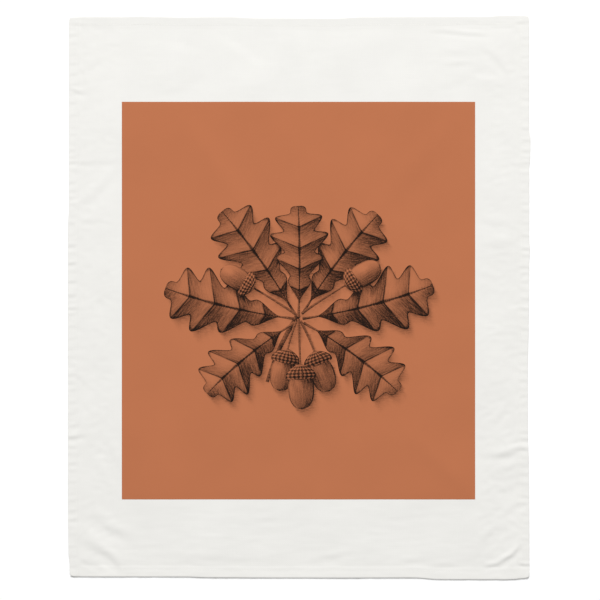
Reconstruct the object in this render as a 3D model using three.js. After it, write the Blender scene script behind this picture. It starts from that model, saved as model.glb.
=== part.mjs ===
// A printed cotton tea towel, lying face up on a table.
// One woven panel has its four edges turned under twice and stitched down. A rectangle of pigment
// ink covers most of its face. Millimetres, +Z up, the origin on the table under the middle of the
// towel, X across its width and Y along its length, with +Y towards the top of the print.
import * as THREE from "three";

// Driving dimensions.
const WIDTH = 457; // 18 inches
const LENGTH = 559; // 22 inches
const CLOTH = 0.5; // one layer of the cotton
const HEM = 9.5; // finished width of the double-turned hem
const LAYER_GAP = 0.15; // air between the folded layers
const CORNER_RADIUS = 3; // of the towel's turned corners
const HEM_SLOPE = 8; // the run over which the face comes down from a hem to the table
const RAW_EDGE = 1.5; // from the fold to the cut edge tucked inside the hem
const PRINT_WIDTH = 352;
const PRINT_LENGTH = 396;
const PRINT_DROP = 2.5; // the print's middle is this far below the towel's
const INK = 0.08; // thickness of the cured ink
const SKIN_GAP = 0.05; // kept between pieces that lie on each other
const CELL = 16; // about the size of one cell of the cloth's grid
const RIM_FADE = 14; // the hems hold the cloth level, so a swell dies away over this much beside them

// The two threads of each lockstitch seam.
const SEAM_INSET = 8; // from the towel's edge to the seam
const STITCH = 9; // three real stitches long, so that each stays a plain shape
const THREAD_WIDTH = 0.5;
const NEEDLE_RISE = 0.35; // how proud the needle thread stands on the face
const BOBBIN_RISE = 0.25; // and the bobbin thread under the hem
const STITCH_DIP = 0.1; // what is left of a thread where it dives into a needle hole
const SEAM_END = 2; // from the end of a cross seam to the towel's side
const SEAM_CLEARANCE = 1; // between a side seam and the cross seam that it runs up to

// Where the cloth stands up off the table: soft swells, each from one point to another, with the
// half width of the swell and the height of its crest. They follow the drag lines of a towel that
// was spread by its corners.
const SWELLS = [
  { from: [-132, 200], to: [-45, 78], half: 22, height: 1.6 },
  { from: [158, 184], to: [50, 70], half: 24, height: 1.8 },
  { from: [104, -128], to: [196, -216], half: 22, height: 2.0 },
  { from: [-204, -212], to: [-150, -246], half: 19, height: 2.4 },
  { from: [150, -246], to: [205, -212], half: 19, height: 2.4 },
  { from: [120, 250], to: [190, 243], half: 17, height: 1.6 },
  { from: [-202, 200], to: [-168, 246], half: 19, height: 1.5 },
  { from: [-208, 100], to: [-150, 126], half: 18, height: 1.2 },
  { from: [-208, 20], to: [-158, 34], half: 17, height: 1.2 },
  { from: [208, 40], to: [152, 46], half: 19, height: 1.2 },
  { from: [208, -34], to: [156, -22], half: 18, height: 1.3 },
  { from: [-206, -96], to: [-160, -120], half: 18, height: 1.2 },
];

const HEM_BASE = BOBBIN_RISE + SKIN_GAP; // the hem lies on its bobbin thread
const HEM_TOP = HEM_BASE + 3 * CLOTH + 2 * LAYER_GAP;
const FOLD = 0.5; // how far a fold takes to turn
const FLAT_EDGE = HEM + 1; // the face stays level over the whole hem and just past it
const FIELD_INSET = FLAT_EDGE + HEM_SLOPE;
const FIELD_X = WIDTH / 2 - FIELD_INSET; // half the width of the face inside the hems
const FIELD_Y = LENGTH / 2 - FIELD_INSET;

const cotton = new THREE.MeshStandardMaterial({ color: "#f2f1ed", roughness: 0.95, metalness: 0 });
const ink = new THREE.MeshStandardMaterial({ color: "#be7652", roughness: 0.85, metalness: 0 });
const thread = new THREE.MeshStandardMaterial({ color: "#f4f3ef", roughness: 0.8, metalness: 0 });

// Values from one end to the other in equal steps of about CELL.
function steps(from, to) {
  const count = Math.max(1, Math.round((to - from) / CELL));
  return Array.from({ length: count + 1 }, (_, i) => from + ((to - from) * i) / count);
}

// How high the cloth stands off the table at a point. A swell is a rounded bump across its line, and
// falls away past its ends in the same way, so the cloth is dead flat everywhere else.
function lift(x, y) {
  let height = 0;
  for (const { from, to, half, height: crest } of SWELLS) {
    const along = new THREE.Vector2(to[0] - from[0], to[1] - from[1]);
    const reach = new THREE.Vector2(x - from[0], y - from[1]);
    const share = THREE.MathUtils.clamp(reach.dot(along) / along.lengthSq(), 0, 1);
    const away = reach.sub(along.multiplyScalar(share)).length() / half;
    if (away < 1) height = Math.max(height, crest * (1 - away * away) ** 2);
  }
  const fromRim = Math.min(FIELD_X - Math.abs(x), FIELD_Y - Math.abs(y));
  return height * THREE.MathUtils.smoothstep(fromRim, 0, RIM_FADE);
}

// Collects the corners and triangles of one closed surface.
class Surface {
  constructor() {
    this.corners = [];
    this.triangles = [];
  }

  point(x, y, z) {
    this.corners.push(x, y, z);
    return this.corners.length / 3 - 1;
  }

  // A rectangle with round corners, that far in from the towel's edge, anticlockwise from above.
  loop(inset, z) {
    const radius = Math.max(CORNER_RADIUS - inset, 0.2);
    const across = WIDTH / 2 - inset - radius;
    const up = LENGTH / 2 - inset - radius;
    const points = [];
    const arcSteps = 3;
    for (const [corner, [sx, sy]] of [[1, 1], [-1, 1], [-1, -1], [1, -1]].entries()) {
      for (let step = 0; step <= arcSteps; step++) {
        const angle = ((corner + step / arcSteps) * Math.PI) / 2;
        const x = sx * across + radius * Math.cos(angle);
        const y = sy * up + radius * Math.sin(angle);
        points.push(this.point(x, y, z));
      }
    }
    return points;
  }

  // A grid of points over the lines xs and ys, with a height for each, as rows of indices.
  grid(xs, ys, heightAt) {
    return ys.map((y) => xs.map((x) => this.point(x, y, heightAt(x, y))));
  }

  // Two triangles for each cell of a grid, facing up, or down for the underside of a sheet.
  fill(rows, facesUp) {
    for (let j = 0; j + 1 < rows.length; j++) {
      for (let i = 0; i + 1 < rows[j].length; i++) {
        const [a, b] = [rows[j][i], rows[j][i + 1]];
        const [c, d] = [rows[j + 1][i + 1], rows[j + 1][i]];
        if (facesUp) this.triangles.push(a, b, c, a, c, d);
        else this.triangles.push(a, c, b, a, d, c);
      }
    }
  }

  // The points round the rim of a grid, anticlockwise from above.
  rim(rows) {
    const bottom = rows[0];
    const top = rows[rows.length - 1];
    const right = rows.slice(1, -1).map((row) => row[row.length - 1]);
    const left = rows.slice(1, -1).map((row) => row[0]);
    return [...bottom, ...right, ...[...top].reverse(), ...left.reverse()];
  }

  // A band between two loops that may have different numbers of points. It faces up where b lies
  // outside a, and it keeps facing outwards as a row of loops turns round a fold.
  band(a, b) {
    const angle = (v) => {
      const turn = Math.atan2(this.corners[3 * v + 1] / LENGTH, this.corners[3 * v] / WIDTH);
      return turn < 0 ? turn + 2 * Math.PI : turn;
    };
    const [first, second] = [a, b].map((loop) => {
      const start = loop.reduce((best, v, i) => (angle(v) < angle(loop[best]) ? i : best), 0);
      return [...loop.slice(start), ...loop.slice(0, start)];
    });
    const at = (loop, i) => (i < loop.length ? angle(loop[i]) : angle(loop[0]) + 2 * Math.PI);
    let [i, j] = [0, 0];
    while (i < first.length || j < second.length) {
      const [here, there] = [first[i % first.length], second[j % second.length]];
      const takeFirst = j === second.length || (i < first.length && at(first, i + 1) < at(second, j + 1));
      if (takeFirst) i++;
      else j++;
      this.triangles.push(here, there, takeFirst ? first[i % first.length] : second[j % second.length]);
    }
  }

  geometry() {
    const made = new THREE.BufferGeometry();
    made.setAttribute("position", new THREE.Float32BufferAttribute(this.corners, 3));
    made.setIndex(this.triangles);
    made.computeVertexNormals();
    return made;
  }
}

const group = new THREE.Group();

function add(name, geometry, material) {
  const mesh = new THREE.Mesh(geometry, material);
  mesh.name = name;
  group.add(mesh);
  return mesh;
}

// The lines of the cloth's grid. The edges of the print lie on them.
const printX = PRINT_WIDTH / 2;
const printLow = -PRINT_DROP - PRINT_LENGTH / 2;
const printHigh = -PRINT_DROP + PRINT_LENGTH / 2;
const printXs = steps(-printX, printX);
const printYs = steps(printLow, printHigh);
const clothXs = [...steps(-FIELD_X, -printX).slice(0, -1), ...printXs, ...steps(printX, FIELD_X).slice(1)];
const clothYs = [...steps(-FIELD_Y, printLow).slice(0, -1), ...printYs, ...steps(printHigh, FIELD_Y).slice(1)];

// The panel is one piece of cloth. Its section at the rim runs out over the hem, round the outer
// fold, back under to the inner fold, and out again to the cut edge between the two layers.
function cottonPanel() {
  const cloth = new Surface();
  const face = cloth.grid(clothXs, clothYs, (x, y) => CLOTH + lift(x, y));
  const back = cloth.grid(clothXs, clothYs, lift);
  const lowerTop = HEM_BASE + CLOTH;
  const middleBase = lowerTop + LAYER_GAP;
  const middleTop = middleBase + CLOTH;
  const upperBase = HEM_TOP - CLOTH;
  const insideFold = HEM - FOLD - 0.1;
  const section = [
    [FLAT_EDGE, HEM_TOP],
    [FOLD, HEM_TOP],
    [0, HEM_TOP - FOLD],
    [0, HEM_BASE + FOLD],
    [FOLD, HEM_BASE],
    [HEM - FOLD, HEM_BASE],
    [HEM, HEM_BASE + FOLD],
    [HEM, middleTop - FOLD],
    [HEM - FOLD, middleTop],
    [RAW_EDGE, middleTop],
    [RAW_EDGE, middleBase],
    [insideFold, middleBase],
    [insideFold, lowerTop],
    [FOLD, lowerTop],
    [FOLD, upperBase],
    [FLAT_EDGE, upperBase],
  ];
  const loops = section.map(([inset, z]) => cloth.loop(inset, z));
  const round = [cloth.rim(face), ...loops, cloth.rim(back)];
  for (let i = 0; i + 1 < round.length; i++) cloth.band(round[i], round[i + 1]);
  cloth.fill(face, true);
  cloth.fill(back, false);
  return cloth.geometry();
}

// The ink lies on the cloth's face and follows it.
function printInk() {
  const film = new Surface();
  const base = CLOTH + SKIN_GAP;
  const top = film.grid(printXs, printYs, (x, y) => base + INK + lift(x, y));
  const under = film.grid(printXs, printYs, (x, y) => base + lift(x, y));
  film.fill(top, true);
  film.fill(under, false);
  film.band(film.rim(top), film.rim(under));
  return film.geometry();
}

// One thread of a seam, lying along X from its middle with its flat side at z = 0. Each stitch is a
// rise between two needle holes. A negative rise hangs below the hem.
function seamThread(length, rise) {
  const count = Math.round(length / STITCH);
  const pitch = length / count;
  const dip = Math.sign(rise) * STITCH_DIP;
  const side = new THREE.Shape();
  side.moveTo(-length / 2, 0);
  for (let i = 0; i < count; i++) {
    const start = -length / 2 + i * pitch;
    side.lineTo(start, dip);
    side.lineTo(start + pitch / 2, rise);
  }
  side.lineTo(length / 2, dip);
  side.lineTo(length / 2, 0);
  const made = new THREE.ExtrudeGeometry(side, { depth: THREAD_WIDTH, bevelEnabled: false });
  return made.translate(0, 0, -THREAD_WIDTH / 2).rotateX(Math.PI / 2);
}

add("cotton_panel", cottonPanel(), cotton);
add("print_ink", printInk(), ink);

const seamX = WIDTH / 2 - SEAM_INSET;
const seamY = LENGTH / 2 - SEAM_INSET;
const crossLength = WIDTH - 2 * SEAM_END;
const sideLength = 2 * (seamY - SEAM_CLEARANCE);
const seams = [
  { name: "top", x: 0, y: seamY, length: crossLength, turn: 0 },
  { name: "bottom", x: 0, y: -seamY, length: crossLength, turn: 0 },
  { name: "left", x: -seamX, y: 0, length: sideLength, turn: Math.PI / 2 },
  { name: "right", x: seamX, y: 0, length: sideLength, turn: Math.PI / 2 },
];
for (const { name, x, y, length, turn } of seams) {
  const needle = add(`needle_thread_${name}`, seamThread(length, NEEDLE_RISE), thread);
  needle.position.set(x, y, HEM_TOP + SKIN_GAP);
  needle.rotation.z = turn;
  const bobbin = add(`bobbin_thread_${name}`, seamThread(length, -BOBBIN_RISE), thread);
  bobbin.position.set(x, y, BOBBIN_RISE);
  bobbin.rotation.z = turn;
}

export default group;
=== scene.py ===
"""A printed cotton tea towel, spread face up. Blender 4.5, metres, +Z up, +Y towards the print's top."""

import math
import random
from dataclasses import dataclass
from types import SimpleNamespace

import bpy
import numpy as np
from bpy.props import FloatProperty, FloatVectorProperty, PointerProperty
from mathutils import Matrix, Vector
from mathutils.geometry import delaunay_2d_cdt


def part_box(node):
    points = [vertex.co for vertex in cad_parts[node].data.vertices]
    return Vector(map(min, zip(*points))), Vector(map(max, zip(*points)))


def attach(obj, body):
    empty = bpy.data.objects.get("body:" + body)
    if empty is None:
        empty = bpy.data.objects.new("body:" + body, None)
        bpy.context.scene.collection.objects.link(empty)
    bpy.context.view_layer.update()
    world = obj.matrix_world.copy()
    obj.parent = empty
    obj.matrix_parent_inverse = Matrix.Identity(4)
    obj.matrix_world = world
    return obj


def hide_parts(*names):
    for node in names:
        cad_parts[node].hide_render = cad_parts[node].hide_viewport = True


bl_info = {
    "name": "Printed Tea Towel",
    "version": (1, 0, 0),
    "blender": (4, 5, 0),
    "location": "3D View > Sidebar > Tea Towel",
    "description": "Makes a hemmed cotton tea towel with a printed panel, its seams and a plain stage",
    "category": "Add Mesh",
}

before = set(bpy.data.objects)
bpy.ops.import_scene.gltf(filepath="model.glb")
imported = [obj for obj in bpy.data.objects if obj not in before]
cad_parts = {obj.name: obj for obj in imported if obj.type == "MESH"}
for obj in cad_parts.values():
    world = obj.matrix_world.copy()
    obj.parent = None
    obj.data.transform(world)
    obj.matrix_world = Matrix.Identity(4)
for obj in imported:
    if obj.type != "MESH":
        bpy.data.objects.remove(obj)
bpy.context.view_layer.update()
PANEL_LOW, PANEL_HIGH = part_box("cotton_panel")
INK_LOW, INK_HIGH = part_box("print_ink")
SIDE_SEAM_LOW, SIDE_SEAM_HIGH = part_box("needle_thread_right")
BODY = "root"
SIDES = ("top", "bottom", "left", "right")
MM = 0.001


def linear(hex_colour):
    """An sRGB hex colour as linear red, green and blue."""
    shares = [int(hex_colour[i : i + 2], 16) / 255 for i in (1, 3, 5)]
    return tuple(s / 12.92 if s <= 0.04045 else ((s + 0.055) / 1.055) ** 2.4 for s in shares)


class TowelCloth(bpy.types.PropertyGroup):
    """The woven panel and its turned hems."""

    width: FloatProperty(
        name="Width",
        description="Finished width of the towel",
        default=PANEL_HIGH.x - PANEL_LOW.x,
        unit="LENGTH",
    )
    length: FloatProperty(
        name="Length",
        description="Finished length of the towel",
        default=PANEL_HIGH.y - PANEL_LOW.y,
        unit="LENGTH",
    )
    hem: FloatProperty(
        name="Hem", description="Finished width of each hem", default=9.5 * MM, unit="LENGTH"
    )
    layer: FloatProperty(
        name="Layer", description="Thickness of one layer of the cloth", default=0.24 * MM, unit="LENGTH"
    )
    pucker: FloatProperty(
        name="Pucker",
        description="How high the top and bottom hems ripple along their seams",
        default=0.28 * MM,
        unit="LENGTH",
    )
    rumple: FloatProperty(
        name="Rumple",
        description="Typical height of the cloth's soft unevenness",
        default=0.22 * MM,
        unit="LENGTH",
    )
    colour: FloatVectorProperty(
        name="Colour", description="Bleached cotton", default=linear("#e7e6e2"), subtype="COLOR"
    )


class TowelPrint(bpy.types.PropertyGroup):
    """The printed panel and the sprig drawn in it."""

    film: FloatProperty(
        name="Film", description="Thickness of the cured ink", default=0.06 * MM, unit="LENGTH"
    )
    ground: FloatVectorProperty(
        name="Ground", description="Terracotta ground colour", default=linear("#b66f4b"), subtype="COLOR"
    )
    drawing: FloatVectorProperty(
        name="Drawing",
        description="Darkest tone of the drawn sprig",
        default=linear("#1b0d06"),
        subtype="COLOR",
    )


class TowelSeams(bpy.types.PropertyGroup):
    """The lockstitch that holds the hems."""

    pitch: FloatProperty(
        name="Stitch", description="Length of one stitch, hole to hole", default=2.8 * MM, unit="LENGTH"
    )
    thread: FloatProperty(
        name="Thread", description="Thickness of the sewing thread", default=0.25 * MM, unit="LENGTH"
    )
    colour: FloatVectorProperty(
        name="Colour", description="Bleached cotton thread", default=linear("#efeee9"), subtype="COLOR"
    )


class TowelStage(bpy.types.PropertyGroup):
    """The floor, the lights and the camera."""

    floor: FloatVectorProperty(
        name="Floor", description="Pale floor", default=linear("#fdfdfd"), subtype="COLOR"
    )
    view_width: FloatProperty(
        name="View",
        description="How much of the floor the camera's view spans",
        default=596 * MM,
        unit="LENGTH",
    )
    camera_height: FloatProperty(
        name="Camera height", description="From the floor to the camera", default=3.0, unit="LENGTH"
    )
    key_strength: FloatProperty(
        name="Key light",
        description="Strength of the slanting light from beyond the towel's top",
        default=2.285,
    )
    fill_power: FloatProperty(
        name="Fill light",
        description="Power of the wide light near the towel's top",
        default=9.4,
        unit="POWER",
    )


# Sizes of the cloth's form, in millimetres.
RAMP = 3.2  # the face climbs from one layer to the hem over this much
CUT_EDGE_IN = 1.5  # from the outer fold to the cut edge hidden in the hem
LAYER_AIR = 0.07  # between one layer and the next
REST = 0.26  # the cloth's middling height over its lowest points
TABLE_GAP = 0.11  # those lowest points stand this far off the table, on the stitches under them
HEM_SETTLE = 0.8  # share of the rumples that the hems' weight presses out
SETTLE_REACH = 32.0  # and how far in from an edge that is felt
EDGE_REST = 0.7  # share of that middling height that the top and bottom edges lose
SEAM_SQUEEZE = 0.06  # share of the hem's height that the stitches press out
SEAM_WIDTH = 1.6  # and how far to each side of a seam
CORNER_BLEND = 1.6  # how the bulk of two hems adds up at a corner: 1 is in full, and more is flatter
# The share of a hem's bulk that pressing leaves, and the share of that which its inner side loses again.
HEM_FORM = {"side": (0.8, 0.5), "top": (0.56, 0.9), "bottom": (0.9, 0.65)}
COLUMN_CELLS = (6.6, 2.2)  # widths of the sheet's cells, under the print and beside it
ROW_CELLS = (1.7, 1.7)  # and their lengths
EDGE_REACH = 60.0  # how far in from an edge the edge's own wander is felt
FACET_HEIGHT = 0.08  # soft ridges between the flatter facets of handled cloth
CORNER_REACH = 6.0  # how far from its tip a corner is rounded
CORNER_CUT = 1.0  # and how far the tip itself is drawn in
PRINT_TRIM = 0.6  # the ink stops this short of its solid's edges

# Stretches of a line that runs from the middle of the sheet to its cut edge, and their numbers of cells.
FACE, BRIM, OUTER_FOLD, UNDER, INNER_FOLD, TUCKED = range(6)
ACROSS_STEPS = {BRIM: 9, OUTER_FOLD: 5, UNDER: 3, INNER_FOLD: 2, TUCKED: 2}
ALONG_STEPS = {BRIM: 10, OUTER_FOLD: 6, UNDER: 4, INNER_FOLD: 3, TUCKED: 3}
BRIM_CROWDING = 1.3  # sets the brim's lines closer together where the face climbs


def in_mm():
    """The sizes of the cloth and the print in millimetres."""
    cloth = bpy.context.scene.towel_cloth
    return SimpleNamespace(
        half_x=cloth.width / MM / 2,
        half_y=cloth.length / MM / 2,
        hem=cloth.hem / MM,
        layer=cloth.layer / MM,
        pitch=cloth.layer / MM + LAYER_AIR,
        pucker=cloth.pucker / MM,
        rumple=cloth.rumple / MM,
        seam=(PANEL_HIGH.x - (SIDE_SEAM_LOW.x + SIDE_SEAM_HIGH.x) / 2) / MM,
        print_x=(INK_HIGH.x - INK_LOW.x) / MM / 2 - PRINT_TRIM,
        print_top=INK_HIGH.y / MM - PRINT_TRIM,
        print_bottom=-INK_LOW.y / MM - PRINT_TRIM,
    )


def smooth(share):
    """Climbs from 0 to 1 with no corner at either end."""
    share = np.clip(share, 0, 1)
    return share * share * (3 - 2 * share)


def rise(inset, size):
    """Share of the hem's extra height that the face has, this far in from an edge."""
    return smooth((size.hem + RAMP - inset) / RAMP)


def wander(along, knots):
    """A smooth line through a few given offsets of an edge."""
    places, offsets = zip(*knots)
    k = np.clip(np.searchsorted(places, along) - 1, 0, len(places) - 2)
    places, offsets = np.array(places), np.array(offsets)
    share = smooth((along - places[k]) / (places[k + 1] - places[k]))
    return offsets[k] + (offsets[k + 1] - offsets[k]) * share


# How each edge strays from a straight line, as places along it and offsets outwards.
STRAY = {
    "top": [
        (-229, 0.0), (-172, 0.0), (-158, 0.7), (-142, 0.0), (-118, -0.4), (-70, -0.1), (-38, -1.3),
        (40, -1.4), (62, -0.2), (140, 0.2), (185, 0.4), (200, 1.1), (229, 1.5),
    ],
    "bottom": [
        (-229, -2.8), (-110, -2.7), (-90, -2.0), (-30, -1.7), (40, -1.6), (115, -1.8), (140, -0.1),
        (205, 0.0), (229, -1.2),
    ],
    "left": [(-280, -1.4), (-268, -1.2), (-252, -0.1), (-215, 0.4), (70, 0.5), (90, -0.5), (280, -0.5)],
    "right": [
        (-280, 0.9), (-240, 0.7), (-160, 0.2), (-140, -0.7), (-70, -0.7), (-50, -0.4), (-30, 0.2),
        (35, 0.6), (47, 1.3), (60, 0.6), (130, 0.7), (140, 1.6), (158, 1.9), (166, 0.6), (280, 0.6),
    ],
}


def stray(x, y, size):
    """Where a point of the true rectangle lies once the edges wander and the corners are rounded."""
    near = {
        "top": (size.half_y - y, x),
        "bottom": (size.half_y + y, x),
        "left": (size.half_x + x, y),
        "right": (size.half_x - x, y),
    }
    push = {}
    for side, (inset, along) in near.items():
        push[side] = wander(along, STRAY[side]) * np.clip(1 - inset / EDGE_REACH, 0, 1) ** 2
    to_corner_x = np.clip(1 - (size.half_x - np.abs(x)) / CORNER_REACH, 0, 1)
    to_corner_y = np.clip(1 - (size.half_y - np.abs(y)) / CORNER_REACH, 0, 1)
    cut = CORNER_CUT * (to_corner_x * to_corner_y) ** 2
    return (
        x + push["right"] - push["left"] - np.sign(x) * cut,
        y + push["top"] - push["bottom"] - np.sign(y) * cut,
    )


def fading(share):
    """How strong a mark is at a share of its length: full in its middle, and weak at both ends."""
    return np.sin(np.pi * (share * 0.9 + 0.05)) ** 0.5


def bell(away):
    """How strong a mark is at a distance from its line, in half widths of the mark."""
    return np.exp(-2 * away**2)


TUCK_PEAK = 1.65  # makes the drop across a tuck equal to its step


@dataclass
class Crease:
    """A soft ridge, or a valley where its height is negative, from one point to another."""

    start: tuple
    end: tuple
    half: float
    height: float

    def lift(self, x, y):
        """How much it raises the cloth at each point."""
        sx, sy = self.start
        dx, dy = self.end[0] - sx, self.end[1] - sy
        share = np.clip(((x - sx) * dx + (y - sy) * dy) / (dx * dx + dy * dy), 0, 1)
        away = np.hypot(x - sx - share * dx, y - sy - share * dy)
        return self.height * fading(share) * bell(away / self.half)


@dataclass
class Tuck:
    """A line of points along which the cloth steps down, as beside a small fold.

    The side towards the towel's top is the raised one, and the other where the step is negative.
    """

    line: tuple
    half: float
    step: float

    def lift(self, x, y):
        """How much it raises or lowers the cloth at each point."""
        lengths = [math.dist(a, b) for a, b in zip(self.line, self.line[1:])]
        away, above, share = np.full_like(x, np.inf), np.zeros_like(x), np.zeros_like(x)
        run = 0.0
        for (ax, ay), (bx, by), length in zip(self.line, self.line[1:], lengths):
            ux, uy = (bx - ax) / length, (by - ay) / length
            along = np.clip((x - ax) * ux + (y - ay) * uy, 0, length)
            gap = np.hypot(x - ax - along * ux, y - ay - along * uy)
            nearer = gap < away
            away = np.where(nearer, gap, away)
            above = np.where(nearer, math.copysign(1, ux) * (ux * (y - ay) - uy * (x - ax)), above)
            share = np.where(nearer, (run + along) / sum(lengths), share)
            run += length
        slope = above / self.half * bell(away / self.half)
        return self.step * TUCK_PEAK * fading(share) * slope


# Soft ridges: the towel's old centre fold, and long drag lines across the printed panel.
CREASES = [
    Crease((0, 262), (0, 226), 3, 0.3),
    Crease((0, 226), (0, 20), 3, 0.12),
    Crease((-112, 176), (-48, 82), 16, 0.5),
    Crease((150, 172), (72, 82), 18, 0.55),
    Crease((72, 82), (18, 58), 16, 0.35),
    Crease((116, -140), (172, -192), 15, 0.5),
]

# Tucks set where the towel shows them, in millimetres from its middle.
TUCKS = [
    # Top left corner.
    Tuck(((-229, 271.5), (-221, 272), (-213, 271)), 3, 0.24),
    Tuck(((-192, 252), (-178, 251)), 4, 0.16),
    Tuck(((-218, 232), (-211, 214)), 3, 0.18),
    Tuck(((-211, 226), (-197, 236)), 7, 0.26),
    Tuck(((-228, 208), (-221, 205), (-215, 203)), 4, 0.5),
    Tuck(((-131, 204), (-117, 209)), 7, 0.22),
    Tuck(((-121, 253), (-106, 244)), 8, -0.37),
    Tuck(((-75, 258), (-58, 247), (-43, 235)), 7, -0.34),
    # Top right corner.
    Tuck(((169, 274.5), (178, 274)), 3, 0.3),
    Tuck(((136, 265), (150, 264), (165, 262), (186, 261)), 4, 0.5),
    Tuck(((195, 269), (216, 269.5)), 3, 0.15),
    Tuck(((215, 273), (229, 274)), 3, 0.21),
    Tuck(((149, 244), (165, 243)), 7, 0.28),
    Tuck(((149, 232), (169, 233)), 5, 0.35),
    Tuck(((146, 208), (160, 216), (173, 222)), 6, 0.27),
    Tuck(((186, 246), (196, 238), (203, 230), (208, 221)), 7, 0.42),
    Tuck(((172, 222), (196, 219)), 8, -0.32),
    # Left margin.
    Tuck(((-218, 134), (-209, 133.5)), 4, 0.32),
    Tuck(((-209, 134), (-180, 136)), 6, 0.18),
    Tuck(((-220, 88), (-205, 101), (-192, 113), (-184, 123)), 9, 0.5),
    Tuck(((-217, 77), (-205, 75), (-195, 78)), 5, 0.25),
    Tuck(((-218, 52), (-206, 50)), 5, 0.15),
    Tuck(((-220, 24), (-204, 24)), 4, 0.08),
    Tuck(((-222, -10.5), (-200, -10)), 3, 0.09),
    Tuck(((-222, -76), (-214, -83), (-204, -92)), 5, 0.27),
    Tuck(((-230, -139), (-221, -138.5), (-213, -137)), 4.5, 0.7),
    Tuck(((-191, -142), (-184, -154), (-178, -170)), 7, 0.42),
    Tuck(((-198, -152), (-190, -172), (-183, -186)), 7, -0.28),
    # Right margin.
    Tuck(((211, 132.5), (219, 132)), 4, 0.32),
    Tuck(((180, 78), (195, 74), (208, 72)), 9, 0.27),
    Tuck(((190, 62), (212, 63)), 7, -0.12),
    Tuck(((183, 52), (198, 52), (213, 54)), 7, 0.2),
    Tuck(((178, 25), (192, 20), (200, 19)), 6, 0.25),
    Tuck(((211, -9), (220, -7.5), (229, -7.5)), 3, -0.27),
    Tuck(((190, -84), (203, -85)), 5, 0.15),
    Tuck(((206, -109), (200, -119), (193, -127)), 6, 0.41),
    Tuck(((217, -118), (213, -126), (211, -136)), 4, 0.16),
    Tuck(((176, -138), (185, -140)), 6, 0.25),
    Tuck(((211, -147), (219, -144.5), (229.5, -144.5)), 3, -0.42),
    Tuck(((180, -157), (197, -157)), 6, 0.24),
    Tuck(((196, -157), (205, -156), (215, -152.5)), 7, 0.95),
    Tuck(((216, -150), (229.5, -151)), 3, 0.55),
    Tuck(((206, -172), (218, -166)), 4, 0.13),
    Tuck(((199, -190), (206, -192), (213, -187)), 7, 0.42),
    Tuck(((184, -195), (191, -189)), 4, 0.16),
    # Bottom left corner.
    Tuck(((-217, -238), (-206, -245), (-194, -252)), 11, 0.75),
    Tuck(((-196, -251), (-186, -258), (-179, -268)), 8, 1.0),
    Tuck(((-208, -214), (-195, -221), (-186, -231)), 11, 0.6),
    Tuck(((-191, -229), (-178, -233), (-168, -237)), 8.5, 0.62),
    Tuck(((-172, -239), (-160, -249)), 8.5, 0.5),
    Tuck(((-217, -259), (-209, -264)), 4.5, 0.32),
    # Bottom hem and the margin above it.
    Tuck(((-114, -257), (-105, -265)), 5, 0.47),
    Tuck(((-95, -259), (-78, -257)), 6, 0.3),
    Tuck(((-68, -262), (-56, -260)), 6, 0.18),
    Tuck(((-51, -262), (-38, -260)), 6, 0.24),
    Tuck(((-42, -219), (-22, -218)), 5, 0.15),
    Tuck(((18, -262), (25, -257), (34, -258.5)), 5, 0.46),
    Tuck(((33, -258.5), (42, -255), (50, -251)), 4.5, 0.49),
    Tuck(((73, -265), (81, -261)), 5, 0.28),
    Tuck(((106, -262), (121, -259)), 6, 0.49),
    Tuck(((140, -265), (151, -265)), 5, 0.4),
    # Bottom right corner.
    Tuck(((187, -267), (198, -265), (206, -260)), 4.5, 0.95),
    Tuck(((204, -261), (212, -256.5), (218, -249)), 4.5, 1.45),
    Tuck(((183, -242), (190, -234), (198, -229)), 7, 0.46),
    Tuck(((204, -215), (212, -209), (221, -205)), 6, 0.42),
    Tuck(((211, -221), (217, -227)), 4, 0.23),
    Tuck(((219.5, -264.5), (229.5, -265)), 2.7, 1.0),
]

# The side hems are drawn up by their stitches: a row of small puckers, and a few strong ones.
PUCKER_SEED = 3
PUCKER_GAPS = (6.5, 12.5)  # from one to the next, along the hem
PUCKER_DROPS = (0.12, 0.36)  # how far the cloth steps down across one
STRONG_DROP = 0.5
STRONG_PLACES = {"left": (134, 52, 34, 1, -11), "right": (134, 48, 30, -43)}
PUCKER_HALF = 2.7
PUCKER_OUT, PUCKER_IN = 1.0, 7.5  # how far one reaches past the towel's edge, and inwards from it
PUCKER_LEAN = 0.5  # and how much nearer to the towel's top its inner end lies


def hem_puckers(size):
    """A small tuck across a side hem for each place where the seam draws it up."""
    draw = random.Random(PUCKER_SEED)
    found = []
    for side, sign in (("left", -1), ("right", 1)):
        drops = [(place, STRONG_DROP) for place in STRONG_PLACES[side]]
        place = PUCKER_GAPS[1] - size.half_y
        while place < size.half_y - PUCKER_GAPS[1]:
            drops.append((place, draw.uniform(*PUCKER_DROPS)))
            place += draw.uniform(*PUCKER_GAPS)
        for place, drop in drops:
            outer = (sign * (size.half_x + PUCKER_OUT), place)
            inner = (sign * (size.half_x - PUCKER_IN), place + PUCKER_LEAN)
            found.append(Tuck((outer, inner), PUCKER_HALF, drop))
    return found


# Where faint creases lie at random: a middle, how far from it, how many and how high.
CRUMPLED = (
    ((-200, -20), (20, 250), 110, 0.06),
    ((200, -20), (20, 250), 110, 0.07),
    ((0, -238), (215, 28), 140, 0.08),
    ((0, 238), (215, 28), 70, 0.04),
    ((196, -210), (24, 60), 30, 0.12),
)
CRUMPLE_SEED = 5
CRUMPLE_LENGTHS = (4.0, 15.0)  # from the middle of one to its end
CRUMPLE_HALVES = (2.0, 3.8)
CRUMPLE_SHARES = (0.4, 1.0)  # of that height


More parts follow.
